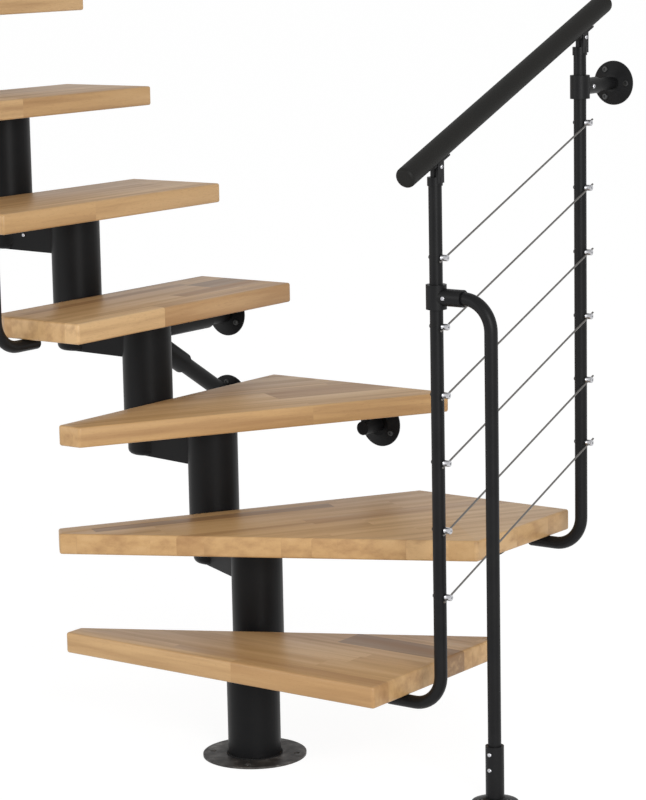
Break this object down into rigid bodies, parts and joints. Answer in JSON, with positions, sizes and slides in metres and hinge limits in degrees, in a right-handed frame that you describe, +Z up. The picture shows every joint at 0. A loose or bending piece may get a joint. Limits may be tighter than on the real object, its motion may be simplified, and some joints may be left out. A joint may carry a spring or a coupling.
{
  "type": "modular staircase",
  "caption": "Modular quarter-turn staircase: wooden treads on a stepped steel spine, with wall arms, bent steel posts, a round handrail and taut cables.",
  "frame": {"origin": "centre of the underside of the round base flange", "axes": "+Z up, +Y towards the wall that the discs bear on, the straight flight climbs towards -X"},
  "size_m": [2.2671, 0.8368, 2.8001],
  "materials": {
    "black_steel": "satin powder coat",
    "flange_steel": "worn powder coat",
    "rail_coat": "matt powder coat",
    "tread_wood": "clear lacquered beech staves",
    "cable_steel": "stranded stainless steel",
    "clamp_chrome": "polished"
  },
  "bodies": {
    "root": {"base_flange": "flange_steel", "spine_module_1": "black_steel", "spine_module_2": "black_steel", "spine_module_3": "black_steel", "spine_module_4": "black_steel", "spine_module_5": "black_steel", "spine_module_6": "black_steel", "spine_module_7": "black_steel", "spine_module_8": "black_steel", "spine_module_9": "black_steel", "tread_1": "tread_wood", "tread_2": "tread_wood", "tread_3": "tread_wood", "tread_4": "tread_wood", "tread_5": "tread_wood", "tread_6": "tread_wood", "tread_7": "tread_wood", "tread_8": "tread_wood", "tread_9": "tread_wood", "wall_bracket_2": "black_steel", "wall_bracket_3": "black_steel", "wall_arm_4": "black_steel", "wall_strut_4": "black_steel", "rail_post_a": "black_steel", "rail_post_b": "black_steel", "rail_post_4": "black_steel", "rail_post_6": "black_steel", "rail_post_8": "black_steel", "support_post": "black_steel", "floor_sleeve": "black_steel", "foot_flange": "black_steel", "post_clamp": "black_steel", "wall_clamp": "black_steel", "wall_rosette": "black_steel", "turn_handrail": "rail_coat", "flight_handrail": "rail_coat", "turn_rail_brackets": "black_steel", "flight_rail_brackets": "black_steel", "turn_cables": "cable_steel", "flight_cables": "cable_steel", "turn_cable_clamps": "clamp_chrome", "flight_cable_clamps": "clamp_chrome"}
  },
  "joints": []
}
